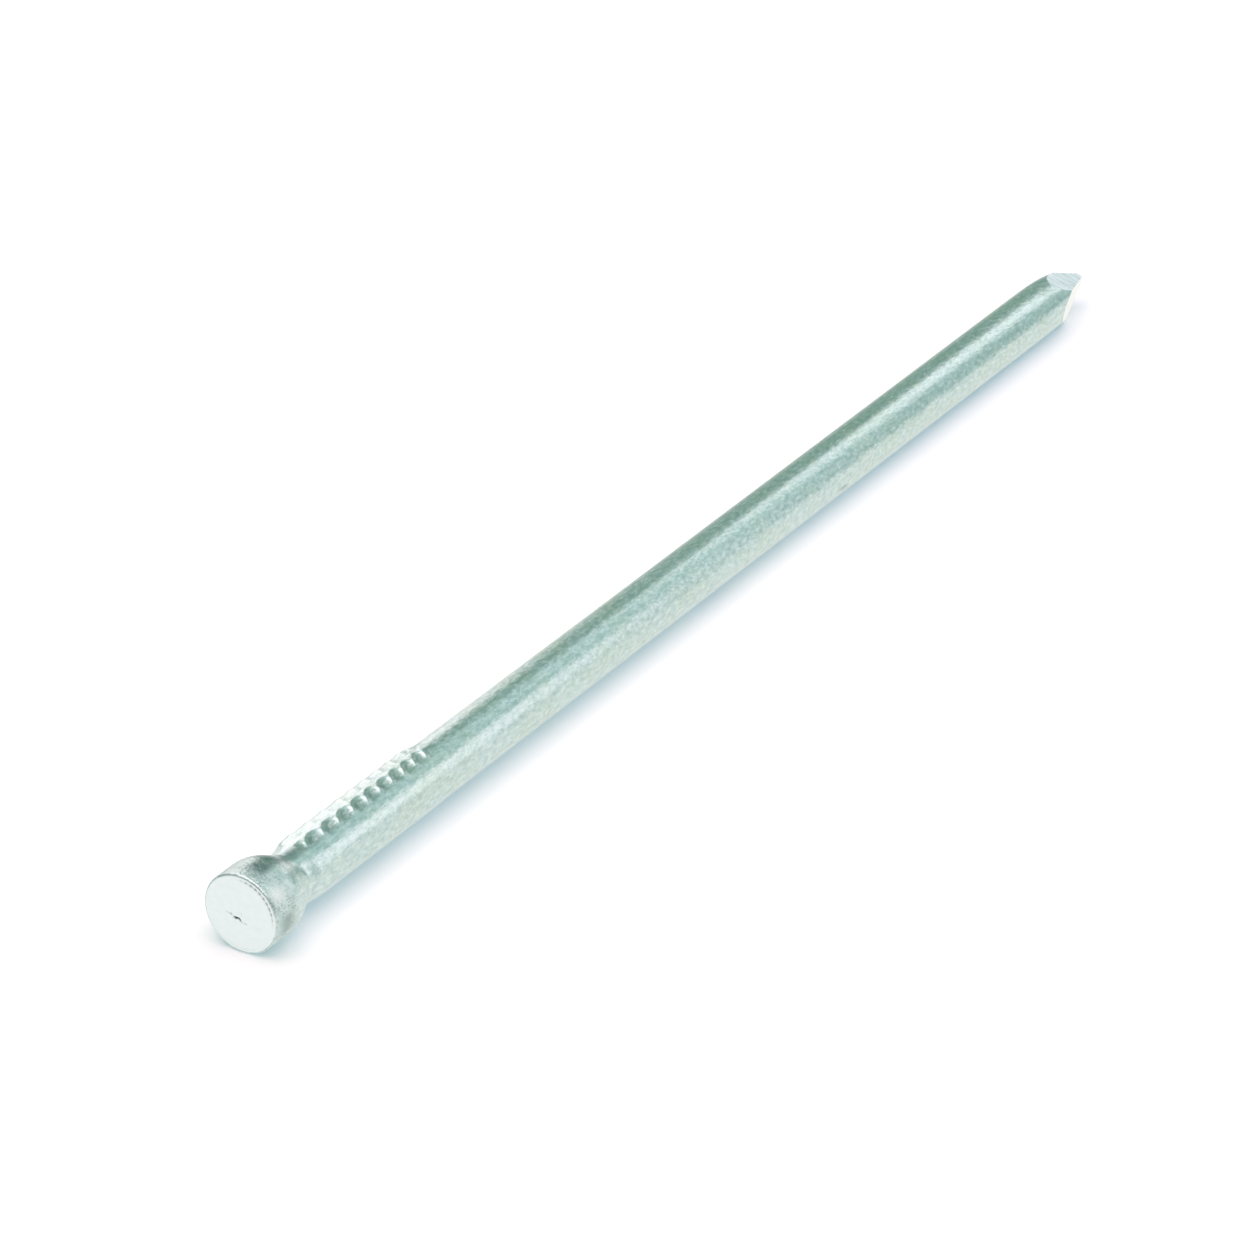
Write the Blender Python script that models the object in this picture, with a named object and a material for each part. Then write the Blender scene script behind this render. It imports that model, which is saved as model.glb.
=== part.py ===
"""Lost-head wire nail in zinc-plated steel, lying on a table.

The nail is one length of drawn wire. Its head is upset from the wire's end, gripper dies leave two rows of
cross ridges behind it, and four cutters pinch the other end into a diamond point.

Units are metres. +Z is up, +X runs from the head to the point, and the table is at Z = 0. The nail touches
the table with two corners of its head and the far end of its shank, so it lies still at a slight slope.
"""

import math

import bmesh
import bpy
from mathutils import Matrix, Vector

MM = 0.001

# Wire
NAIL_LENGTH = 120.0 * MM
SHANK_DIAMETER = 4.2 * MM
SIDES = 24

# Head
HEAD_OVERHANG = 0.83 * MM
RIM_CHAMFER = 0.14 * MM
RIM_LENGTH = 1.8 * MM
BELL_LENGTH = 3.4 * MM
BELL_STEPS = 7
BELL_SKEW = 1.4
NECK_INSET = 0.10 * MM
NECK_LENGTH = 1.3 * MM
NECK_STEPS = 3
SEAM_DEPTH = 0.03 * MM

# Grip marks, in two rows on opposite sides of the wire
GRIP_COUNT = 10
GRIP_PITCH = 1.52 * MM
GRIP_STEPS = 4
GRIP_HALF_WIDTH = math.radians(66)
UPPER_ROW_ANGLE = math.radians(46)
UPPER_RIDGE_HEIGHT = 0.27 * MM
LOWER_RIDGE_HEIGHT = 0.06 * MM
VALLEY_SHARE = 0.5
SCOOP_SHARE = 0.6
SCOOP_ANGLE = math.radians(45)
SCOOP_HALF_WIDTH = math.radians(24)

# Diamond point: two facets beside a ridge, and two opposite them
POINT_HALF_ANGLE = math.radians(15)
POINT_RIDGE_ANGLE = math.radians(149)
POINT_FACET_SPREAD = math.radians(41)
TIP_FLAT = 0.5 * MM

# Finish
ZINC_COLOUR = (0.56, 0.64, 0.62, 1.0)
ZINC_ROUGHNESS = 0.32
SHARP_EDGE = math.radians(30)

# Worked out from the sizes above
SHANK_RADIUS = SHANK_DIAMETER / 2
HEAD_RADIUS = SHANK_RADIUS + HEAD_OVERHANG
NECK_RADIUS = SHANK_RADIUS - NECK_INSET
NECK_X = RIM_LENGTH + BELL_LENGTH
GRIP_START = NECK_X + NECK_LENGTH
SIDE_ANGLE = 2 * math.pi / SIDES
REST_DEPTH = HEAD_RADIUS * math.cos(SIDE_ANGLE)
SEAM_PRESS = HEAD_RADIUS - REST_DEPTH + SEAM_DEPTH
WELD = 1e-7


def clear_scene():
    for old in list(bpy.data.objects):
        bpy.data.objects.remove(old, do_unlink=True)


def zinc_plated_steel():
    material = bpy.data.materials.new("zinc_plated_steel")
    material.use_nodes = True
    shader = material.node_tree.nodes["Principled BSDF"]
    shader.inputs["Base Color"].default_value = ZINC_COLOUR
    shader.inputs["Metallic"].default_value = 1.0
    shader.inputs["Roughness"].default_value = ZINC_ROUGHNESS
    return material


def across(angle):
    """The direction square to the wire at this angle, counted about +X from +Y."""
    return Vector((0.0, math.cos(angle), math.sin(angle)))


def ease(share):
    """0 to 1 with a soft start and end."""
    share = min(max(share, 0.0), 1.0)
    return 0.5 - 0.5 * math.cos(math.pi * share)


def profile():
    """Half outline of the turned body, from the middle of the struck face to the middle of the far end."""
    points = [(0.0, 0.0), (0.0, HEAD_RADIUS - RIM_CHAMFER), (RIM_CHAMFER, HEAD_RADIUS)]
    for step in range(BELL_STEPS):
        share = step / BELL_STEPS
        x = RIM_LENGTH + BELL_LENGTH * share
        points.append((x, HEAD_RADIUS + (NECK_RADIUS - HEAD_RADIUS) * ease(share**BELL_SKEW)))
    for step in range(NECK_STEPS):
        share = step / NECK_STEPS
        points.append((NECK_X + NECK_LENGTH * share, NECK_RADIUS + NECK_INSET * ease(share)))
    for step in range(GRIP_COUNT * GRIP_STEPS + 1):
        points.append((GRIP_START + GRIP_PITCH * step / GRIP_STEPS, SHANK_RADIUS))
    points.append((NAIL_LENGTH, SHANK_RADIUS))
    points.append((NAIL_LENGTH, 0.0))
    return points


def turn_body(mesh):
    """Spins the profile about the wire's axis, with a line of corners straight down."""
    start = across(-math.pi / 2)
    line = [mesh.verts.new(Vector((x, 0.0, 0.0)) + start * radius) for x, radius in profile()]
    edges = [mesh.edges.new(pair) for pair in zip(line, line[1:])]
    bmesh.ops.spin(
        mesh,
        geom=line + edges,
        cent=(0.0, 0.0, 0.0),
        axis=(1.0, 0.0, 0.0),
        dvec=(0.0, 0.0, 0.0),
        angle=2 * math.pi,
        steps=SIDES,
        use_merge=True,
    )
    bmesh.ops.remove_doubles(mesh, verts=mesh.verts[:], dist=WELD)


def grip_lift(x, angle):
    """How far the gripper dies raise the surface here, less than 0 where a tooth has scooped it out.

    A row is swollen all along its middle, with valleys between its ridges. Each valley ends in a scoop on
    both sides of the row.
    """
    along = (x - GRIP_START) / GRIP_PITCH
    if along <= 0.0 or along >= GRIP_COUNT:
        return 0.0
    lift = 0.0
    tooth = ease(1 - abs(2 * (along % 1.0) - 1))
    for centre, ridge_height in (
        (UPPER_ROW_ANGLE, UPPER_RIDGE_HEIGHT),
        (UPPER_ROW_ANGLE + math.pi, LOWER_RIDGE_HEIGHT),
    ):
        away = abs(math.remainder(angle - centre, 2 * math.pi))
        ridge = ridge_height * ease(1 - away / GRIP_HALF_WIDTH)
        scoop = SCOOP_SHARE * ridge_height * ease(1 - abs(away - SCOOP_ANGLE) / SCOOP_HALF_WIDTH)
        lift += ridge * (1 - tooth) + (VALLEY_SHARE * ridge - scoop) * tooth
    return lift


def press_grips(mesh):
    for vert in mesh.verts:
        radius = math.hypot(vert.co.y, vert.co.z)
        angle = math.atan2(vert.co.z, vert.co.y)
        if radius > WELD:
            vert.co += across(angle) * grip_lift(vert.co.x, angle)


def press_seam(mesh):
    """Presses in the lowest line of the head, so that the nail lies on the two corners beside it."""
    for vert in mesh.verts:
        overhang = -vert.co.z - SHANK_RADIUS
        if abs(vert.co.y) < WELD and vert.co.x < NECK_X and overhang > 0.0:
            vert.co.z += SEAM_PRESS * overhang / HEAD_OVERHANG


def cut_point(mesh):
    """Pinches the far end to a point with flat cuts that leave a small blunt tip."""
    tip = Vector((NAIL_LENGTH, 0.0, 0.0))
    along = Vector((1.0, 0.0, 0.0))
    ridges = (POINT_RIDGE_ANGLE, POINT_RIDGE_ANGLE + math.pi)
    for angle in [ridge + turn for ridge in ridges for turn in (-POINT_FACET_SPREAD, POINT_FACET_SPREAD)]:
        outward = across(angle)
        cut = bmesh.ops.bisect_plane(
            mesh,
            geom=mesh.verts[:] + mesh.edges[:] + mesh.faces[:],
            dist=WELD,
            plane_co=tip + outward * TIP_FLAT / 2,
            plane_no=outward * math.cos(POINT_HALF_ANGLE) + along * math.sin(POINT_HALF_ANGLE),
            clear_outer=True,
        )
        rim = [edge for edge in cut["geom_cut"] if isinstance(edge, bmesh.types.BMEdge)]
        bmesh.ops.edgeloop_fill(mesh, edges=rim)


def resting_place(mesh):
    """The matrix that lays the nail on the table, on two corners of its rim and the end of its shank."""
    beyond = [vert.co for vert in mesh.verts if vert.co.x > NECK_X]
    slope = min(math.atan2(point.z + REST_DEPTH, point.x - RIM_LENGTH) for point in beyond)
    tipped = Matrix.Rotation(slope, 4, "Y")
    places = [tipped @ vert.co for vert in mesh.verts]
    middle = (min(place.x for place in places) + max(place.x for place in places)) / 2
    floor = min(place.z for place in places)
    return Matrix.Translation((-middle, 0.0, -floor)) @ tipped


def make_nail():
    mesh = bmesh.new()
    turn_body(mesh)
    press_grips(mesh)
    press_seam(mesh)
    cut_point(mesh)
    bmesh.ops.recalc_face_normals(mesh, faces=mesh.faces[:])
    place = resting_place(mesh)
    data = bpy.data.meshes.new("nail")
    mesh.to_mesh(data)
    mesh.free()
    data.materials.append(zinc_plated_steel())
    data.shade_smooth()
    data.set_sharp_from_angle(angle=SHARP_EDGE)
    nail = bpy.data.objects.new("nail", data)
    nail.matrix_world = place
    bpy.context.scene.collection.objects.link(nail)
    return nail


def main():
    clear_scene()
    make_nail()


main()
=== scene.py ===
"""Zinc-plated lost-head nail on a white table, with the finish of a drawn, pressed and plated wire.

Sizes are in metres. The nail is made in its own frame, where +X runs along the wire from the middle of the
struck face and angles are counted about +X from +Y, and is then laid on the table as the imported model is.
"""

import math

import bmesh
import bpy
import numpy as np
from mathutils import Matrix, Vector, noise


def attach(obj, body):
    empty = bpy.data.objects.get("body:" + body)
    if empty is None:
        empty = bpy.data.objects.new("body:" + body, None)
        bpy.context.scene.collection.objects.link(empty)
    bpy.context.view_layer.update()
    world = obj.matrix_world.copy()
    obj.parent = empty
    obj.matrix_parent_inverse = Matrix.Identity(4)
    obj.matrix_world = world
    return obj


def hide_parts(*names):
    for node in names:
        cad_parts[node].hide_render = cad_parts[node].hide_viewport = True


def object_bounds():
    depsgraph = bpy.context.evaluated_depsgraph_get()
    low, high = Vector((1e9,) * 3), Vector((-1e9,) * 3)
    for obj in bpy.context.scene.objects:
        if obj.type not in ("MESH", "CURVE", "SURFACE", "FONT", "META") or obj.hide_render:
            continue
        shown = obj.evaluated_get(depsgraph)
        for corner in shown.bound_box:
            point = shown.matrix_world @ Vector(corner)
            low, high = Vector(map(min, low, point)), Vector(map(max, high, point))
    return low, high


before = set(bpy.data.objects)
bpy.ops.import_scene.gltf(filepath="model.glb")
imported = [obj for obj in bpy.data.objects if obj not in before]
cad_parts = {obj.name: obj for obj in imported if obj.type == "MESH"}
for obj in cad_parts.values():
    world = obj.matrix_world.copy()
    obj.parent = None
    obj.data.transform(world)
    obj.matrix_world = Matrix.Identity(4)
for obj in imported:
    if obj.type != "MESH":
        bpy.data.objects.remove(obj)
cad_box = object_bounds()

MM = 0.001

# Wire and head
NAIL_LENGTH = 120.0 * MM
SHANK_RADIUS = 2.1 * MM
HEAD_RADIUS = 2.93 * MM
NECK_RADIUS = 2.0 * MM
RIM_ROUND = 0.14 * MM
HEAD_OFFSET = 0.13 * MM
RIM_LENGTH = 1.8 * MM
BELL_LENGTH = 3.4 * MM
BELL_SKEW = 1.4
NECK_LENGTH = 1.3 * MM
NECK_X = RIM_LENGTH + BELL_LENGTH

# The neck is filled out on its upper side
FILL_ANGLE = math.radians(100)
FILL_HALF_WIDTH = math.radians(45)
FILL_FADE = math.radians(30)

# Grip marks, in two rows on opposite sides of the wire
GRIP_LENGTH = 15.2 * MM
GRIP_START = NECK_X + NECK_LENGTH
GRIP_END = GRIP_START + GRIP_LENGTH
GRIP_HALF_WIDTH = math.radians(34)
UPPER_ROW_ANGLE = math.radians(46)
UPPER_RIDGE_HEIGHT = 0.27 * MM
LOWER_RIDGE_HEIGHT = 0.06 * MM
ROW_FADE = 0.8 * MM

# The crests stand closer together toward the point, and bow toward the head at their ends.
# The place of the first one counts from the start of the row, at the angle where the bow adds nothing.
FIRST_CREST = 0.5936 * MM
FIRST_PITCH = 2.075 * MM
LAST_PITCH = 1.2919 * MM
GRIP_BOW = 0.76 * MM
BOW_ANGLE = math.radians(48)

# Each crest falls within a share of the pitch, and the next one rises late. The valleys between them keep
# a share of the ridge's height.
FALL_SHARE = 0.35
RISE_POWER = 5
VALLEY_SHARE = 0.8

# Rounded scoops that the teeth of the dies left beside each row
SCOOP_SHARE = 0.44
SCOOP_START = math.radians(30)
SCOOP_ROUNDING = math.radians(11)
SCOOP_END = math.radians(78)
SCOOP_FADE = math.radians(16)
SCOOP_RUNOUT = math.radians(30)
# Painted shade in each scoop past its crest: strength, darkest place as a share of the pitch, and spread
SCOOP_PAINTED_SHADE = 0.35
SCOOP_SHADE_PAST_CREST = 0.24
SCOOP_SHADE_SPREAD = 0.16

# Struck face, as places across the wire
LIP_RADIUS = 2.70 * MM
LIP_WIDTH = 0.08 * MM
LIP_HEIGHT = 0.03 * MM
GROOVE_RADIUS = 2.56 * MM
GROOVE_WIDTH = 0.07 * MM
GROOVE_DEPTH = 0.06 * MM
GROOVE_ANGLE = math.radians(135)
GROOVE_HALF_ARC = math.radians(36)
GROOVE_BREAKS = 40.0
FOLD_START = (1.425 * MM, -0.066 * MM)
FOLD_END = (-0.473 * MM, -0.761 * MM)
FOLD_WIDTH = 0.05 * MM
FOLD_DEPTH = 0.04 * MM
FOLD_FADE = 1 / 6
FOLD_WANDER = 0.04 * MM
FOLD_BENDS = 19.0
FOLD_BREAKS = 30.0

# Pit in the fold, and the torn edge beside it, with their places as shares of the fold's length
PIT_SHARE = 0.46
PIT_WIDTH = 0.06 * MM
PIT_LENGTH = 0.10 * MM
PIT_DEPTH = 0.14 * MM
TEAR_SHARE = 0.59
TEAR_SPAN = 0.07
TEAR_ASIDE = 0.05 * MM
TEAR_WIDTH = 0.036 * MM
TEAR_DEPTH = 0.098 * MM
# The face is painted darker where it is sunk, as shade, fully at this depth
FACE_SHADE_DEPTH = 0.06 * MM

# Dark patches: painted shade over the top of the head and neck, a darker patch low on the head's near side
# and a dark fleck on the shank. Each one: place along the wire, length, angle, half width and strength
PAINTED_SHADE_AND_STAINS = (
    (3.4 * MM, 0.9 * MM, math.radians(70), math.radians(34), 0.85),
    (1.1 * MM, 0.9 * MM, math.radians(78), math.radians(40), 0.35),
    (1.8 * MM, 0.7 * MM, math.radians(98), math.radians(12), 0.7),
    (5.4 * MM, 0.9 * MM, math.radians(97), math.radians(14), 0.5),
    (1.2 * MM, 0.8 * MM, math.radians(188), math.radians(14), 0.55),
    (76.7 * MM, 0.3 * MM, math.radians(197), math.radians(6), 0.5),
)

# Painted highlights, as pale spots on the head: place along the wire, angle and radius
PAINTED_HIGHLIGHT_SPOTS = ((0.95 * MM, math.radians(143), 0.7 * MM), (3.6 * MM, math.radians(127), 0.7 * MM))

# A dark patch or a groove is full within 0.6 of its half width and has faded out at 1.6 of it
MARK_REACH = 1.6

# Grain of the pressed head
GRAIN_SIZE = 0.22 * MM
GRAIN_HEIGHT = 0.02 * MM

# Diamond point
POINT_HALF_ANGLE = math.radians(15)
POINT_RIDGE_ANGLE = math.radians(149)
POINT_FACET_SPREAD = math.radians(41)
TIP_FLATS = (0.68 * MM, 0.5 * MM, 0.5 * MM, 0.5 * MM)
SHOULDER_START = 111.0 * MM
SHOULDER_LENGTH = 3.0 * MM
SHOULDER_DEPTH = 0.10 * MM
SHOULDER_POWER = 6
PINCH_START = 112.8 * MM
PINCH_LENGTH = 4.2 * MM
PINCH_DEPTH = 0.37 * MM
PINCH_ANGLE = math.radians(55)
PINCH_POWER = 3

# How finely the mesh follows the forms
SEGMENTS = 192
FACE_RINGS = 56
ROUND_RINGS = 5
HEAD_STEP = 0.1 * MM
GRIP_STEP = 0.076 * MM
SHANK_STEP = 0.9 * MM
POINT_STEP = 0.3 * MM
WELD = 1e-7
WIRE, STRUCK, SHEARED = range(3)


def ease(share):
    """0 to 1 with a soft start and end."""
    return 0.5 - 0.5 * np.cos(np.pi * np.clip(share, 0.0, 1.0))


def dip(distance, width):
    """1 at a distance of 0, falling softly to 0 over about twice the width."""
    return np.exp(-((distance / width) ** 2))


def broken(way):
    """From 0 to 1 and back in an uneven rhythm, for a line that comes and goes."""
    return 0.5 + 0.3 * np.sin(way) + 0.2 * np.sin(2.3 * way + 1.0)


def turn_from(angle, middle):
    """How far an angle lies from another one, the short way round."""
    return np.abs((angle - middle + np.pi) % (2 * np.pi) - np.pi)


def steps(start, end, size):
    """Evenly spaced values from start up to but not including end, about this far apart."""
    count = max(1, round((end - start) / size))
    return [start + (end - start) * step / count for step in range(count)]


# Forms of the nail


def half_outline():
    """Rings of the nail as (place along the wire, radius), from the face's middle to the far end."""
    flat = HEAD_RADIUS - RIM_ROUND
    rings = [(0.0, flat * ring / FACE_RINGS) for ring in range(1, FACE_RINGS)]
    for step in range(ROUND_RINGS + 1):
        turn = math.pi / 2 * step / ROUND_RINGS
        rings.append((RIM_ROUND * (1 - math.cos(turn)), flat + RIM_ROUND * math.sin(turn)))
    rings += [(x, HEAD_RADIUS) for x in steps(RIM_ROUND, RIM_LENGTH, HEAD_STEP)[1:]]
    for x in steps(RIM_LENGTH, NECK_X, HEAD_STEP):
        share = ease(((x - RIM_LENGTH) / BELL_LENGTH) ** BELL_SKEW)
        rings.append((x, HEAD_RADIUS + (NECK_RADIUS - HEAD_RADIUS) * share))
    for x in steps(NECK_X, GRIP_START, HEAD_STEP):
        share = ease((x - NECK_X) / NECK_LENGTH)
        rings.append((x, NECK_RADIUS + (SHANK_RADIUS - NECK_RADIUS) * share))
    for start, end, size in (
        (GRIP_START, GRIP_END, GRIP_STEP),
        (GRIP_END, SHOULDER_START, SHANK_STEP),
        (SHOULDER_START, NAIL_LENGTH, POINT_STEP),
    ):
        rings += [(x, SHANK_RADIUS) for x in steps(start, end, size)]
    rings.append((NAIL_LENGTH, SHANK_RADIUS))
    return np.array(rings)


def crests_before(x):
    """How many grip crests lie before each place, counted from the first one."""
    closer = (1 / LAST_PITCH - 1 / FIRST_PITCH) / GRIP_LENGTH
    along = x - GRIP_START
    first = FIRST_CREST / FIRST_PITCH + closer * FIRST_CREST**2 / 2
    return along / FIRST_PITCH + closer * along**2 / 2 - first


def grip_marks(x, angle):
    """How far the gripper dies raise the wire, less than 0 in their scoops, and the shade painted into the
    scoops.
    """
    shown = ease((x - GRIP_START) / ROW_FADE + 0.5) * ease((GRIP_END - x) / ROW_FADE + 0.5)
    lift, painted_shade_and_stain = np.zeros_like(x), np.zeros_like(x)
    for centre, ridge_height in (
        (UPPER_ROW_ANGLE, UPPER_RIDGE_HEIGHT),
        (UPPER_ROW_ANGLE + math.pi, LOWER_RIDGE_HEIGHT),
    ):
        away = turn_from(angle, centre)
        bowed = x + GRIP_BOW * (away**2 - BOW_ANGLE**2)
        past_crest = crests_before(bowed) % 1.0
        rise = np.clip((past_crest - FALL_SHARE) / (1 - FALL_SHARE), 0.0, 1.0) ** RISE_POWER
        sunk = 1 - np.maximum(1 - past_crest / FALL_SHARE, rise)
        ridge = ridge_height * ease(1 - away / GRIP_HALF_WIDTH)
        start = SCOOP_START + SCOOP_ROUNDING * (2 * past_crest - 1) ** 2
        scoop = ease((away - start) / SCOOP_FADE) * ease((SCOOP_END - away) / SCOOP_RUNOUT)
        lift += ridge - ((1 - VALLEY_SHARE) * ridge + SCOOP_SHARE * ridge_height * scoop) * sunk
        # Shade painted into the scoops, weaker in the low lower row
        scoop_shade = SCOOP_PAINTED_SHADE * ridge_height / UPPER_RIDGE_HEIGHT
        painted_shade_and_stain += scoop_shade * scoop * dip(past_crest - SCOOP_SHADE_PAST_CREST, SCOOP_SHADE_SPREAD)
    return lift * shown, painted_shade_and_stain * shown


def neck_fill(x, radius, angle):
    """How far the wire's neck is filled out on its upper side."""
    low = np.where(x > RIM_LENGTH, np.maximum(SHANK_RADIUS - radius, 0.0), 0.0)
    return low * ease((FILL_HALF_WIDTH - turn_from(angle, FILL_ANGLE)) / FILL_FADE)


def face_marks(y, z):
    """The height of the struck face's lip, and the depth of its groove, fold and pit, across the wire."""
    radius = np.hypot(y - HEAD_OFFSET, z)
    angle = np.arctan2(z, y - HEAD_OFFSET)
    lip = LIP_HEIGHT * dip(radius - LIP_RADIUS, LIP_WIDTH)
    groove = GROOVE_DEPTH * dip(radius - GROOVE_RADIUS, GROOVE_WIDTH)
    groove *= ease(MARK_REACH - turn_from(angle, GROOVE_ANGLE) / GROOVE_HALF_ARC)
    groove *= broken(angle * GROOVE_BREAKS)
    start, way = np.array(FOLD_START), np.array(FOLD_END) - np.array(FOLD_START)
    length = math.hypot(*way)
    share = ((y - start[0]) * way[0] + (z - start[1]) * way[1]) / length**2
    aside = ((y - start[0]) * way[1] - (z - start[1]) * way[0]) / length
    aside += FOLD_WANDER * np.sin(share * FOLD_BENDS)
    fold = FOLD_DEPTH * dip(aside, FOLD_WIDTH) * broken(share * FOLD_BREAKS)
    fold *= ease(share / FOLD_FADE) * ease((1 - share) / FOLD_FADE)
    pit = PIT_DEPTH * dip(aside, PIT_WIDTH) * dip((share - PIT_SHARE) * length, PIT_LENGTH)
    tear = TEAR_DEPTH * dip(aside - TEAR_ASIDE, TEAR_WIDTH) * dip(share - TEAR_SHARE, TEAR_SPAN)
    return lip, groove + fold + pit + tear


def facet_angles():
    ridges = (POINT_RIDGE_ANGLE, POINT_RIDGE_ANGLE + math.pi)
    return [ridge + turn for ridge in ridges for turn in (-POINT_FACET_SPREAD, POINT_FACET_SPREAD)]


def shoulder(x, angle):
    """How far the cutters drew the wire in behind each facet, and pinched it where two of them met."""
    drawn = SHOULDER_DEPTH * ease((x - SHOULDER_START) / SHOULDER_LENGTH)
    near = sum(np.maximum(np.cos(angle - facet), 0.0) ** SHOULDER_POWER for facet in facet_angles())
    pinched = PINCH_DEPTH * np.clip((x - PINCH_START) / PINCH_LENGTH, 0.0, 1.0) ** 2
    return drawn * near + pinched * np.maximum(np.cos(angle - PINCH_ANGLE), 0.0) ** PINCH_POWER


def shade_and_stain_share(x, angle):
    """How strongly the painted shade and stains darken the wire."""
    darkening = np.zeros_like(x)
    for stain_x, length, middle, half_width, strength in PAINTED_SHADE_AND_STAINS:
        beside = ease(MARK_REACH - turn_from(angle, middle) / half_width)
        darkening += strength * dip(x - stain_x, length) * beside
    return darkening


def painted_highlight_share(x, angle):
    """How strongly the painted highlights lighten the head."""
    lightened = np.zeros_like(x)
    for spot_x, spot_angle, spot_radius in PAINTED_HIGHLIGHT_SPOTS:
        lightened += dip(np.hypot(x - spot_x, HEAD_RADIUS * (angle - spot_angle)), spot_radius)
    return lightened


def roughen_head(grid, angle):
    """Gives the pressed sides of the head their grainy unevenness."""
    pressed = grid[..., 0] < NECK_X
    pressed[:FACE_RINGS] = False
    points, turn = grid[pressed], angle[pressed]
    grain = np.array([noise.noise(Vector(point) / GRAIN_SIZE) for point in points])
    fade = ease((NECK_X - points[:, 0]) / BELL_LENGTH) * ease(points[:, 0] / (2 * RIM_ROUND))
    points[:, 1] += GRAIN_HEIGHT * grain * fade * np.cos(turn)
    points[:, 2] += GRAIN_HEIGHT * grain * fade * np.sin(turn)
    grid[pressed] = points


def body_surface():
    """Places on the nail before its point is cut, ring by ring, with their painted shade and stains and their
    painted highlights.
    """
    rings = half_outline()
    turns = 2 * math.pi * np.arange(SEGMENTS) / SEGMENTS - math.pi / 2
    x = np.repeat(rings[:, :1], SEGMENTS, axis=1)
    radius = np.repeat(rings[:, 1:], SEGMENTS, axis=1)
    angle = np.repeat(turns[None, :], len(rings), axis=0)
    lift, painted_shade_and_stain = grip_marks(x, angle)
    radius = radius + neck_fill(x, radius, angle) + lift - shoulder(x, angle)
    grid = np.stack([x, radius * np.cos(angle), radius * np.sin(angle)], axis=-1)
    grid[..., 1] += HEAD_OFFSET * (1 - ease((x - RIM_LENGTH) / BELL_LENGTH))
    lip, sunk = face_marks(grid[:FACE_RINGS, :, 1], grid[:FACE_RINGS, :, 2])
    grid[:FACE_RINGS, :, 0] += sunk - lip
    # Painted shade over the top of the head and neck, and other dark patches
    painted_shade_and_stain += shade_and_stain_share(x, angle)
    # Painted shade on the face, darker where it is sunk
    painted_shade_and_stain[:FACE_RINGS] = np.clip(sunk / FACE_SHADE_DEPTH, 0.0, 1.0)
    roughen_head(grid, angle)
    return grid, {"painted_shade_and_stain": painted_shade_and_stain, "painted_highlight": painted_highlight_share(x, angle)}


def turned_body():
    """The turned nail with its marks, before the point is cut, as a bmesh."""
    grid, shares = body_surface()
    mesh = bmesh.new()
    for name in shares:
        mesh.verts.layers.float.new(name)
    rows = [[mesh.verts.new(point) for point in row] for row in grid]
    for name, values in shares.items():
        layer = mesh.verts.layers.float[name]
        for row, row_values in zip(rows, values):
            for vert, value in zip(row, row_values):
                vert[layer] = value
    for ring, (row, following) in enumerate(zip(rows, rows[1:])):
        for place in range(SEGMENTS):
            beside = (place + 1) % SEGMENTS
            face = mesh.faces.new((row[place], following[place], following[beside], row[beside]))
            face.material_index = STRUCK if ring < FACE_RINGS - 1 else WIRE
    middle = mesh.verts.new((0.0, 0.0, 0.0))
    for place in range(SEGMENTS):
        face = mesh.faces.new((middle, rows[0][place], rows[0][(place + 1) % SEGMENTS]))
        face.material_index = STRUCK
    mesh.faces.new(rows[-1]).material_index = SHEARED
    return mesh


def cut_point(mesh):
    """Pinches the far end to a point with four flat cuts that leave a small blunt tip."""
    tip = Vector((NAIL_LENGTH, 0.0, 0.0))
    for angle, flat in zip(facet_angles(), TIP_FLATS):
        outward = Vector((0.0, math.cos(angle), math.sin(angle)))
        cut = bmesh.ops.bisect_plane(
            mesh,
            geom=mesh.verts[:] + mesh.edges[:] + mesh.faces[:],
            dist=WELD,
            plane_co=tip + outward * flat / 2,
            plane_no=outward * math.cos(POINT_HALF_ANGLE) + Vector((math.sin(POINT_HALF_ANGLE), 0.0, 0.0)),
            clear_outer=True,
        )
        rim = [edge for edge in cut["geom_cut"] if isinstance(edge, bmesh.types.BMEdge)]
        for facet in bmesh.ops.edgeloop_fill(mesh, edges=rim)["faces"]:
            facet.material_index = SHEARED


def lying_on_table(mesh):
    """The matrix that lays the nail on the table, on its head and the end of its shank."""
    beyond = [vert.co for vert in mesh.verts if vert.co.x > NECK_X]
    slope = min(math.atan2(point.z + HEAD_RADIUS, point.x - RIM_LENGTH) for point in beyond)
    tipped = Matrix.Rotation(slope, 4, "Y")
    floor = min((tipped @ vert.co).z for vert in mesh.verts)
    middle = (cad_box[0].x + cad_box[1].x) / 2
    return Matrix.Translation((middle - math.cos(slope) * NAIL_LENGTH / 2, 0.0, -floor)) @ tipped


# Finishes


def linear(code):
    """An sRGB hex colour as linear red, green and blue, with full alpha."""
    shares = [int(code[place : place + 2], 16) / 255 for place in (1, 3, 5)]
    return [s / 12.92 if s <= 0.04045 else ((s + 0.055) / 1.055) ** 2.4 for s in shares] + [1.0]


def node(tree, kind, inputs=None, **settings):
    """Adds a node. Each of its inputs is a value to set, or another node's output to link."""
    made = tree.nodes.new(kind)
    for name, value in settings.items():
        setattr(made, name, value)
    for name, value in (inputs or {}).items():
        if isinstance(value, bpy.types.NodeSocket):
            tree.links.new(value, made.inputs[name])
        else:
            made.inputs[name].default_value = value
    return made


def new_finish(name):
    material = bpy.data.materials.new(name)
    material.use_nodes = True
    tree = material.node_tree
    return material, tree, tree.nodes["Principled BSDF"]


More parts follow.
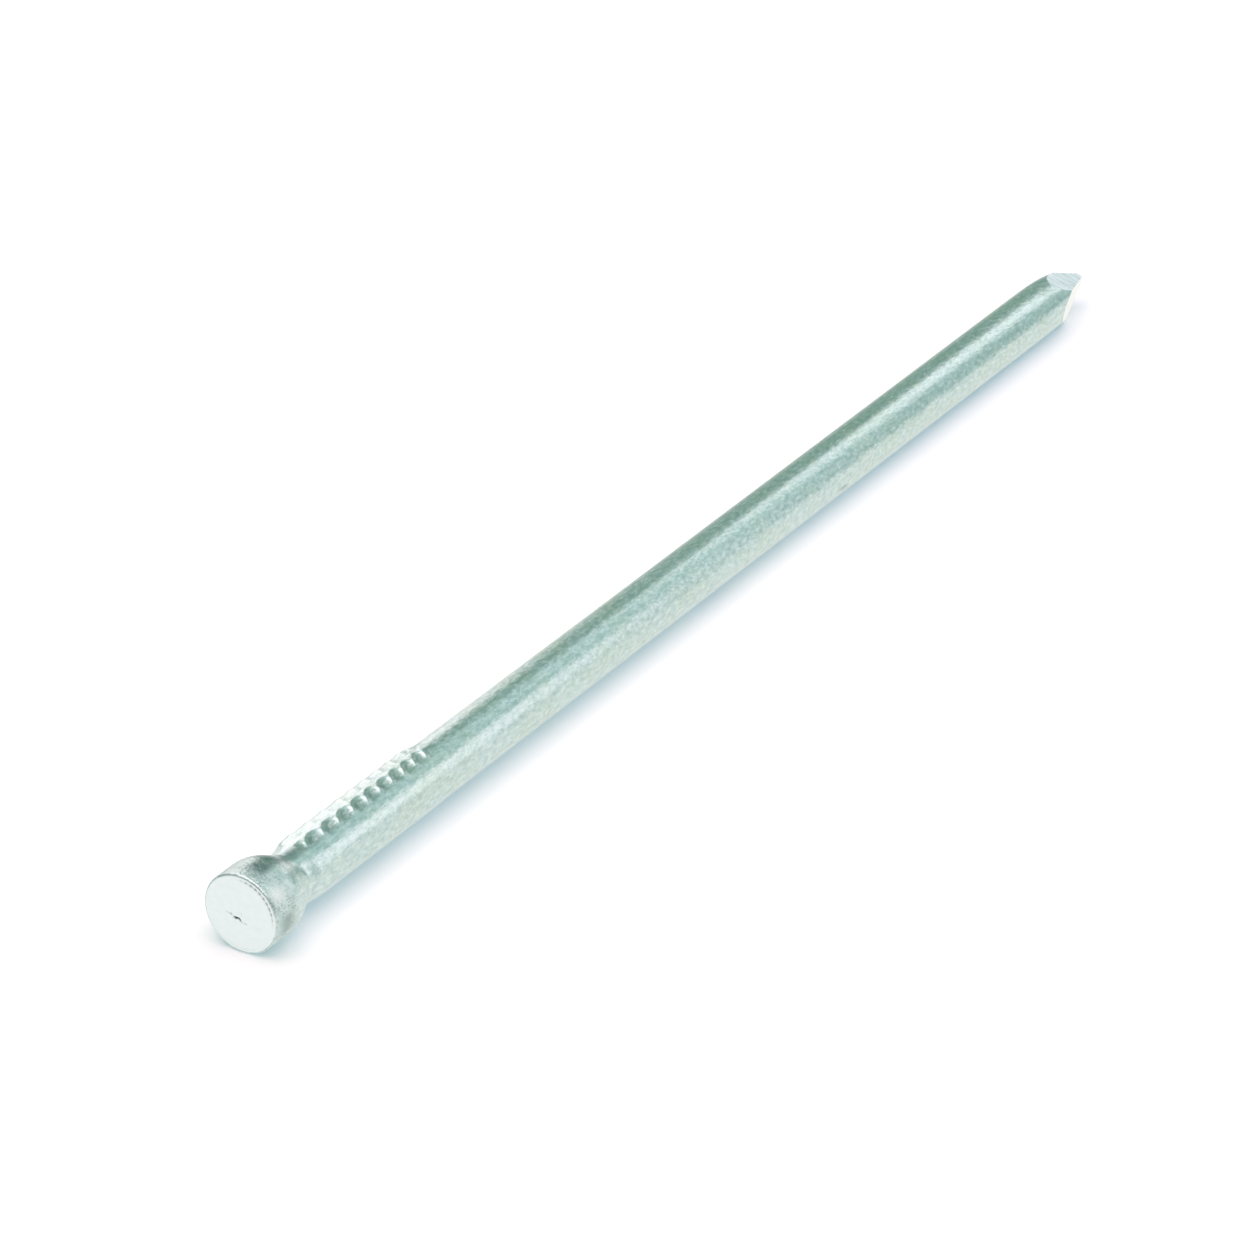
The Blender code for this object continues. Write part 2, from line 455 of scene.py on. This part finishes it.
# Drawn wire. Its draw lines and zinc crystals are much coarser here than real ones, so that they show.
DRAW_LINE_WIDTH = 0.10 * MM
DRAW_LINE_LENGTH = 4.0 * MM
DRAW_LINE_DEPTH = 0.008 * MM
CRYSTAL_WIDTH = 0.30 * MM
CRYSTAL_LENGTH = 0.60 * MM
CRYSTAL_DEPTH = 0.025 * MM
CRYSTAL_SPREAD = {"From Min": 0.3, "From Max": 0.7}
CRYSTAL_TINTS = ("#B2CBC7", "#DDEDEB")
WIRE_ROUGHNESS = {"To Min": 0.20, "To Max": 0.28}
CLOUD_SIZE = 2.5 * MM
CLOUD_SPREAD = {"From Min": 0.4, "From Max": 0.65}
CLOUD_TINT = "#FFFEF8"

# The head is duller, paler and grainier, which fades out at the start of its bell, and pitted in patches
HEAD_FADE_START = 1.5 * MM
HEAD_FADE_END = 3.0 * MM
HEAD_GRAIN_DEPTH = 0.05 * MM
HEAD_DULLING = 0.16
HEAD_PALING = 0.5
HEAD_TINT = "#DFEFEB"
PITTING_LENGTH = 0.20 * MM
PITTING_WIDTH = 0.09 * MM
PITTING_SPREAD = {"From Min": 0.53, "From Max": 0.33}
PATCH_SIZE = 0.8 * MM
PATCH_SPREAD = {"From Min": 0.36, "From Max": 0.54}
# Painted shade and stains, and the pits, darken the zinc to this colour
SHADE_AND_STAIN_TINT = "#67817D"
# Painted highlights lighten the zinc to this colour
PAINTED_HIGHLIGHT_TINT = "#F2F9F5"


def wire_relief(tree, place, crystals, head):
    """Draw lines along the wire, crystals grown over them, and grain on the head, as a normal."""
    across = 1 / DRAW_LINE_WIDTH
    lengthwise = node(
        tree, "ShaderNodeMapping", {"Vector": place, "Scale": (1 / DRAW_LINE_LENGTH, across, across)}
    ).outputs[0]
    lines = node(tree, "ShaderNodeTexNoise", {"Vector": lengthwise, "Scale": 1.0, "Detail": 2.0}).outputs[0]
    grains = node(
        tree, "ShaderNodeTexNoise", {"Vector": place, "Scale": 1 / GRAIN_SIZE, "Detail": 1.0}
    ).outputs[0]
    grain_depth = node(
        tree, "ShaderNodeMath", {0: head, 1: HEAD_GRAIN_DEPTH}, operation="MULTIPLY"
    ).outputs[0]
    drawn = node(tree, "ShaderNodeMath", {0: lines, 1: DRAW_LINE_DEPTH}, operation="MULTIPLY").outputs[0]
    plated = node(
        tree, "ShaderNodeMath", {0: crystals, 1: CRYSTAL_DEPTH, 2: drawn}, operation="MULTIPLY_ADD"
    ).outputs[0]
    pressed = node(
        tree, "ShaderNodeMath", {0: grains, 1: grain_depth, 2: plated}, operation="MULTIPLY_ADD"
    ).outputs[0]
    return node(tree, "ShaderNodeBump", {"Height": pressed, "Distance": 1.0, "Strength": 1.0}).outputs[0]


def head_pits_shade_and_stains(tree, place, head):
    """Dark pits in patches on the head, and the painted shade and stains that the mesh carries."""
    scraped = node(
        tree,
        "ShaderNodeMapping",
        {"Vector": place, "Scale": (1 / PITTING_LENGTH, 1 / PITTING_WIDTH, 1 / PITTING_WIDTH)},
    ).outputs[0]
    specks = node(
        tree, "ShaderNodeTexNoise", {"Vector": scraped, "Scale": 1.0, "Detail": 5.0, "Roughness": 0.7}
    ).outputs[0]
    clusters = node(tree, "ShaderNodeTexNoise", {"Vector": place, "Scale": 1 / PATCH_SIZE}).outputs[0]
    pits = node(tree, "ShaderNodeMapRange", {"Value": specks, **PITTING_SPREAD}).outputs[0]
    patches = node(tree, "ShaderNodeMapRange", {"Value": clusters, **PATCH_SPREAD, "To Max": head}).outputs[0]
    head_pits = node(tree, "ShaderNodeMath", {0: pits, 1: patches}, operation="MULTIPLY").outputs[0]
    painted_shade_and_stain = node(tree, "ShaderNodeAttribute", attribute_name="painted_shade_and_stain").outputs["Fac"]
    return node(tree, "ShaderNodeMath", {0: head_pits, 1: painted_shade_and_stain}, operation="MAXIMUM").outputs[0]


def wire_tint(tree, place, crystals, head):
    """The zinc's colour, paler on the head, darkened by pits, stains and painted shade, and lightened by
    painted highlights.
    """
    spread = node(tree, "ShaderNodeMapRange", {"Value": crystals, **CRYSTAL_SPREAD}).outputs[0]
    dark, pale = CRYSTAL_TINTS
    tint = node(
        tree, "ShaderNodeMix", {"Factor": spread, "A": linear(dark), "B": linear(pale)}, data_type="RGBA"
    ).outputs["Result"]
    clouds = node(
        tree, "ShaderNodeTexNoise", {"Vector": place, "Scale": 1 / CLOUD_SIZE, "Detail": 2.0}
    ).outputs[0]
    cloudy = node(tree, "ShaderNodeMapRange", {"Value": clouds, **CLOUD_SPREAD}).outputs[0]
    paled = node(tree, "ShaderNodeMath", {0: head, 1: HEAD_PALING}, operation="MULTIPLY").outputs[0]
    pits_shade_and_stains = head_pits_shade_and_stains(tree, place, head)
    painted_highlight = node(tree, "ShaderNodeAttribute", attribute_name="painted_highlight").outputs["Fac"]
    for share, colour, blend in (
        (cloudy, CLOUD_TINT, "MULTIPLY"),
        (paled, HEAD_TINT, "MIX"),
        (pits_shade_and_stains, SHADE_AND_STAIN_TINT, "MIX"),
        (painted_highlight, PAINTED_HIGHLIGHT_TINT, "MIX"),
    ):
        tint = node(
            tree,
            "ShaderNodeMix",
            {"Factor": share, "A": tint, "B": linear(colour)},
            data_type="RGBA",
            blend_type=blend,
        ).outputs["Result"]
    return tint


def zinc_on_drawn_wire(face_x):
    """Bright zinc plated on drawn steel wire. The wire keeps draw lines along it and the zinc grows in fine
    crystals, so it mirrors its surroundings in stripes with mottled edges. The pressed head is grainier."""
    material, tree, shader = new_finish("zinc_on_drawn_wire")
    place = node(tree, "ShaderNodeTexCoord").outputs["Object"]
    along = node(tree, "ShaderNodeSeparateXYZ", {0: place}).outputs["X"]
    head = node(
        tree,
        "ShaderNodeMapRange",
        {
            "Value": along,
            "From Min": face_x + HEAD_FADE_START,
            "From Max": face_x + HEAD_FADE_END,
            "To Min": 1.0,
            "To Max": 0.0,
        },
        interpolation_type="SMOOTHSTEP",
    ).outputs[0]
    grown = node(
        tree,
        "ShaderNodeMapping",
        {"Vector": place, "Scale": (1 / CRYSTAL_LENGTH, 1 / CRYSTAL_WIDTH, 1 / CRYSTAL_WIDTH)},
    ).outputs[0]
    crystals = node(
        tree, "ShaderNodeTexNoise", {"Vector": grown, "Scale": 1.0, "Detail": 4.0, "Roughness": 0.65}
    ).outputs[0]
    shine = node(
        tree, "ShaderNodeMapRange", {"Value": crystals, **CRYSTAL_SPREAD, **WIRE_ROUGHNESS}
    ).outputs[0]
    dulled = node(
        tree, "ShaderNodeMath", {0: head, 1: HEAD_DULLING, 2: shine}, operation="MULTIPLY_ADD"
    ).outputs[0]
    tree.links.new(wire_tint(tree, place, crystals, head), shader.inputs["Base Color"])
    tree.links.new(dulled, shader.inputs["Roughness"])
    tree.links.new(wire_relief(tree, place, crystals, head), shader.inputs["Normal"])
    shader.inputs["Metallic"].default_value = 1.0
    return material


# Marks of the punch on the struck face
STRUCK_MARK_SIZE = 0.5 * MM
STRUCK_MARK_DEPTH = 0.006 * MM
STRUCK_TINTS = ("#E4F0F2", "#F5FDFE")
# Painted shade in the face's groove, fold and pit
STRUCK_SHADE_TINT = "#3F4746"
STRUCK_ROUGHNESS = {"To Min": 0.30, "To Max": 0.42}


def zinc_on_struck_face():
    """Zinc on the face that the heading punch struck flat. It is whiter and duller than the wire, with faint
    marks, and painted darker in its groove, fold and pit, as shade."""
    material, tree, shader = new_finish("zinc_on_struck_face")
    place = node(tree, "ShaderNodeTexCoord").outputs["Object"]
    marks = node(
        tree, "ShaderNodeTexNoise", {"Vector": place, "Scale": 1 / STRUCK_MARK_SIZE, "Detail": 4.0}
    ).outputs[0]
    height = node(tree, "ShaderNodeMath", {0: marks, 1: STRUCK_MARK_DEPTH}, operation="MULTIPLY").outputs[0]
    relief = node(tree, "ShaderNodeBump", {"Height": height, "Distance": 1.0, "Strength": 1.0}).outputs[0]
    painted_shade_and_stain = node(tree, "ShaderNodeAttribute", attribute_name="painted_shade_and_stain").outputs["Fac"]
    dark, pale = STRUCK_TINTS
    tint = node(
        tree, "ShaderNodeMix", {"Factor": marks, "A": linear(dark), "B": linear(pale)}, data_type="RGBA"
    ).outputs["Result"]
    tint = node(
        tree, "ShaderNodeMix", {"Factor": painted_shade_and_stain, "A": tint, "B": linear(STRUCK_SHADE_TINT)}, data_type="RGBA"
    ).outputs["Result"]
    shine = node(tree, "ShaderNodeMapRange", {"Value": marks, **STRUCK_ROUGHNESS}).outputs[0]
    tree.links.new(tint, shader.inputs["Base Color"])
    tree.links.new(shine, shader.inputs["Roughness"])
    tree.links.new(relief, shader.inputs["Normal"])
    shader.inputs["Metallic"].default_value = 1.0
    return material


# Sheared point. Its torn lines are coarser here than real ones, so that they show.
SHEAR_LINE_WIDTH = 0.5 * MM
SHEAR_LINE_LENGTH = 3.0 * MM
SHEAR_LINE_DEPTH = 0.012 * MM
SHEAR_SPREAD = {"From Min": 0.38, "From Max": 0.62}
SHEAR_TINTS = ("#BEDAD9", "#E4F6F8")
SHEAR_ROUGHNESS = {"To Min": 0.22, "To Max": 0.34}
# Painted highlight: facets that face sideways are lifted nearly to white
SIDEWAYS_FACET_HIGHLIGHT = {"From Min": 0.5, "From Max": 0.2}
FACET_HIGHLIGHT_TINT = "#FBFEFA"


def zinc_on_sheared_point():
    """Zinc on the facets that the cutters sheared. Torn lines run across the nail, so the upper facets are
    bright with bluish streaks, and the facets that face sideways are painted nearly white, as a highlight."""
    material, tree, shader = new_finish("zinc_on_sheared_point")
    place = node(tree, "ShaderNodeTexCoord").outputs["Object"]
    along = 1 / SHEAR_LINE_LENGTH
    crosswise = node(
        tree, "ShaderNodeMapping", {"Vector": place, "Scale": (1 / SHEAR_LINE_WIDTH, along, along)}
    ).outputs[0]
    lines = node(
        tree, "ShaderNodeTexNoise", {"Vector": crosswise, "Scale": 1.0, "Detail": 3.0, "Distortion": 0.6}
    ).outputs[0]
    height = node(tree, "ShaderNodeMath", {0: lines, 1: SHEAR_LINE_DEPTH}, operation="MULTIPLY").outputs[0]
    relief = node(tree, "ShaderNodeBump", {"Height": height, "Distance": 1.0, "Strength": 1.0}).outputs[0]
    facing = node(tree, "ShaderNodeNewGeometry").outputs["Normal"]
    up = node(tree, "ShaderNodeSeparateXYZ", {0: facing}).outputs["Z"]
    sideways_highlight = node(tree, "ShaderNodeMapRange", {"Value": up, **SIDEWAYS_FACET_HIGHLIGHT}).outputs[0]
    streaks = node(tree, "ShaderNodeMapRange", {"Value": lines, **SHEAR_SPREAD}).outputs[0]
    dark, pale = SHEAR_TINTS
    tint = node(
        tree, "ShaderNodeMix", {"Factor": streaks, "A": linear(dark), "B": linear(pale)}, data_type="RGBA"
    ).outputs["Result"]
    tint = node(
        tree, "ShaderNodeMix", {"Factor": sideways_highlight, "A": tint, "B": linear(FACET_HIGHLIGHT_TINT)}, data_type="RGBA"
    ).outputs["Result"]
    shine = node(tree, "ShaderNodeMapRange", {"Value": lines, **SHEAR_ROUGHNESS}).outputs[0]
    tree.links.new(tint, shader.inputs["Base Color"])
    tree.links.new(shine, shader.inputs["Roughness"])
    tree.links.new(relief, shader.inputs["Normal"])
    shader.inputs["Metallic"].default_value = 1.0
    return material


# The camera sees the board with a faint glow that lifts it to white. The glow is weaker beside the point and
# before the head, so that the nail's shadow stays deeper there. Places count from below the nail's middle.
TABLE_TINT = "#FDFAEC"
TABLE_ROUGHNESS = 0.9
TABLE_GLOW = 0.27
GLOW_TINT = "#9FCAFD"
WEAKER_GLOWS = (
    ({"From Min": 0.0, "From Max": 45 * MM}, "#4DA0E9"),
    ({"From Min": -56.5 * MM, "From Max": -59.5 * MM}, "#5EA8DB"),
)

# Metal mirrors the board as plain white, and as grey on the far side of the shank
TABLE_MIRRORED = 0.8
MIRRORED_TINTS = ("#FFFFFF", "#9DB3AB")
GREY_ALONG = {"From Min": -15 * MM, "From Max": 25 * MM}
GREY_BEYOND = {"From Min": 3 * MM, "From Max": 18 * MM}


def white_table():
    """Matt white board. To the eye it is a clean white that keeps the nail's shadow, and metal mirrors it
    pale."""
    material, tree, shader = new_finish("white_table")
    path = node(tree, "ShaderNodeLightPath")
    place = node(tree, "ShaderNodeTexCoord").outputs["Object"]
    along, aside = node(tree, "ShaderNodeSeparateXYZ", {0: place}).outputs[:2]
    glow = linear(GLOW_TINT)
    for stretch, colour in WEAKER_GLOWS:
        share = node(tree, "ShaderNodeMapRange", {"Value": along, **stretch}).outputs[0]
        glow = node(
            tree, "ShaderNodeMix", {"Factor": share, "A": glow, "B": linear(colour)}, data_type="RGBA"
        ).outputs["Result"]
    lift = node(
        tree, "ShaderNodeMath", {0: path.outputs["Is Camera Ray"], 1: TABLE_GLOW}, operation="MULTIPLY"
    ).outputs[0]
    tree.links.new(glow, shader.inputs["Emission Color"])
    tree.links.new(lift, shader.inputs["Emission Strength"])
    shader.inputs["Base Color"].default_value = linear(TABLE_TINT)
    shader.inputs["Roughness"].default_value = TABLE_ROUGHNESS
    shader.inputs["Specular IOR Level"].default_value = 0.0
    mirrored = node(
        tree,
        "ShaderNodeMath",
        {0: path.outputs["Is Glossy Ray"], 1: path.outputs["Is Transmission Ray"]},
        operation="MAXIMUM",
    ).outputs[0]
    share = node(tree, "ShaderNodeMath", {0: mirrored, 1: TABLE_MIRRORED}, operation="MULTIPLY").outputs[0]
    onward = node(tree, "ShaderNodeMapRange", {"Value": along, **GREY_ALONG}).outputs[0]
    beyond = node(tree, "ShaderNodeMapRange", {"Value": aside, **GREY_BEYOND, "To Max": onward}).outputs[0]
    white, grey = MIRRORED_TINTS
    seen = node(
        tree, "ShaderNodeMix", {"Factor": beyond, "A": linear(white), "B": linear(grey)}, data_type="RGBA"
    ).outputs["Result"]
    plain = node(tree, "ShaderNodeEmission", {"Color": seen, "Strength": 1.0}).outputs[0]
    board = node(tree, "ShaderNodeMixShader", {0: share, 1: shader.outputs[0], 2: plain}).outputs[0]
    tree.links.new(board, tree.nodes["Material Output"].inputs["Surface"])
    return material


# Pieces


def make_nail():
    """Makes the nail and returns the matrix that lays it on the table."""
    mesh = turned_body()
    cut_point(mesh)
    bmesh.ops.recalc_face_normals(mesh, faces=mesh.faces[:])
    for edge in mesh.edges:
        sheared = any(face.material_index == SHEARED for face in edge.link_faces)
        edge.smooth = not sheared
    for face in mesh.faces:
        face.smooth = True
    place = lying_on_table(mesh)
    bmesh.ops.transform(mesh, matrix=place, verts=mesh.verts[:])
    data = bpy.data.meshes.new("zinc_plated_nail")
    mesh.to_mesh(data)
    mesh.free()
    for finish in (zinc_on_drawn_wire(place.translation.x), zinc_on_struck_face(), zinc_on_sheared_point()):
        data.materials.append(finish)
    nail = bpy.data.objects.new("zinc_plated_nail", data)
    bpy.context.scene.collection.objects.link(nail)
    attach(nail, "root")
    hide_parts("nail")
    return place


TABLE_SIZE = 8.0


def make_table():
    mesh = bmesh.new()
    bmesh.ops.create_grid(mesh, x_segments=1, y_segments=1, size=TABLE_SIZE / 2)
    data = bpy.data.meshes.new("table")
    mesh.to_mesh(data)
    mesh.free()
    data.materials.append(white_table())
    table = bpy.data.objects.new("table", data)
    bpy.context.scene.collection.objects.link(table)


# Light. The softbox lights the nail and the table, and the panels show only as stripes mirrored in the zinc.
# Each one: middle in mm from the struck face's middle, turns in degrees, size in mm, brightness and shape
SOFTBOXES = {
    "softbox_overhead": ((-420, -135, 1550), (0, 0, 0), (2200, 2340), 1.5, "RECTANGLE"),
    "panel_over_point": ((326, -27, 147), (0, 0, -35), (230, 92), 0.56, "ELLIPSE"),
    "panel_near_side": ((168, -134, 67), (63.6, 0, 0), (108, 115), 0.70, "RECTANGLE"),
    "panel_far_side": ((125, 150, 110), (-90, 17, 0), (180, 200), 1.05, "RECTANGLE"),
    "panel_ahead": ((500, 94, 80), (0, 90, 0), (100, 110), 0.75, "RECTANGLE"),
}
LAMP_COLOUR = "#FFE1EA"
LAMP_WATTS = 4.0


def hang_softboxes(place):
    for name, (middle, turns, size, brightness, shape) in SOFTBOXES.items():
        lamp = bpy.data.lights.new(name, "AREA")
        lamp.shape = shape
        lamp.size, lamp.size_y = size[0] * MM, size[1] * MM
        lamp.energy = LAMP_WATTS * brightness * lamp.size * lamp.size_y
        lamp.color = linear(LAMP_COLOUR)[:3]
        softbox = bpy.data.objects.new(name, lamp)
        softbox.location = place.translation + Vector(middle) * MM
        softbox.rotation_euler = [math.radians(turn) for turn in turns]
        softbox.visible_camera = False
        softbox.visible_diffuse = name.startswith("softbox")
        bpy.context.scene.collection.objects.link(softbox)


# Grey-green walls of the studio. Each one: the axis toward it, the shares of that where it starts and where
# it is full, and its colour
STUDIO_TINT = "#C8DDDC"
NEAR_WALL = ("Y", -0.36, -0.52, "#BDD0CD")
FAR_SIDE = {"From Min": 0.08, "From Max": 0.14}
FAR_WALL = ("Z", 0.75, 0.67, "#98B2A8")
WALL_AHEAD = ("X", 0.86, 0.94, "#A2B6B3")
WALL_BEHIND = ("X", 0.3, 0.1, "#95A6A4")


def build_studio():
    world = bpy.data.worlds.new("studio")
    world.use_nodes = True
    tree = world.node_tree
    toward = node(tree, "ShaderNodeTexCoord").outputs["Generated"]
    sides = node(tree, "ShaderNodeSeparateXYZ", {0: toward}).outputs
    far_side = node(tree, "ShaderNodeMapRange", {"Value": sides["Y"], **FAR_SIDE}).outputs[0]
    walls = linear(STUDIO_TINT)
    for (side, start, end, colour), full in (
        (NEAR_WALL, 1.0),
        (FAR_WALL, far_side),
        (WALL_AHEAD, 1.0),
        (WALL_BEHIND, 1.0),
    ):
        share = node(
            tree,
            "ShaderNodeMapRange",
            {"Value": sides[side], "From Min": start, "From Max": end, "To Max": full},
        ).outputs[0]
        walls = node(
            tree, "ShaderNodeMix", {"Factor": share, "A": walls, "B": linear(colour)}, data_type="RGBA"
        ).outputs["Result"]
    tree.links.new(walls, tree.nodes["Background"].inputs["Color"])
    bpy.context.scene.world = world


# Camera, looking along the nail from above its head
CAMERA_FROM_FACE = Vector((-234.53, -173.29, 178.12)) * MM
CAMERA_TOWARD = Vector((0.75039, 0.46029, -0.4744))
CAMERA_LENS = 149.53
CAMERA_SENSOR = 36.0
CAMERA_NEAREST = 10 * MM


def make_camera(place):
    data = bpy.data.cameras.new("camera")
    data.lens = CAMERA_LENS
    data.sensor_width = CAMERA_SENSOR
    data.clip_start = CAMERA_NEAREST
    camera = bpy.data.objects.new("camera", data)
    camera.location = place.translation + CAMERA_FROM_FACE
    camera.rotation_mode = "QUATERNION"
    camera.rotation_quaternion = CAMERA_TOWARD.to_track_quat("-Z", "Y")
    bpy.context.scene.collection.objects.link(camera)
    bpy.context.scene.camera = camera


place = make_nail()
make_table()
hang_softboxes(place)
build_studio()
make_camera(place)
bpy.context.scene.view_settings.view_transform = "Standard"
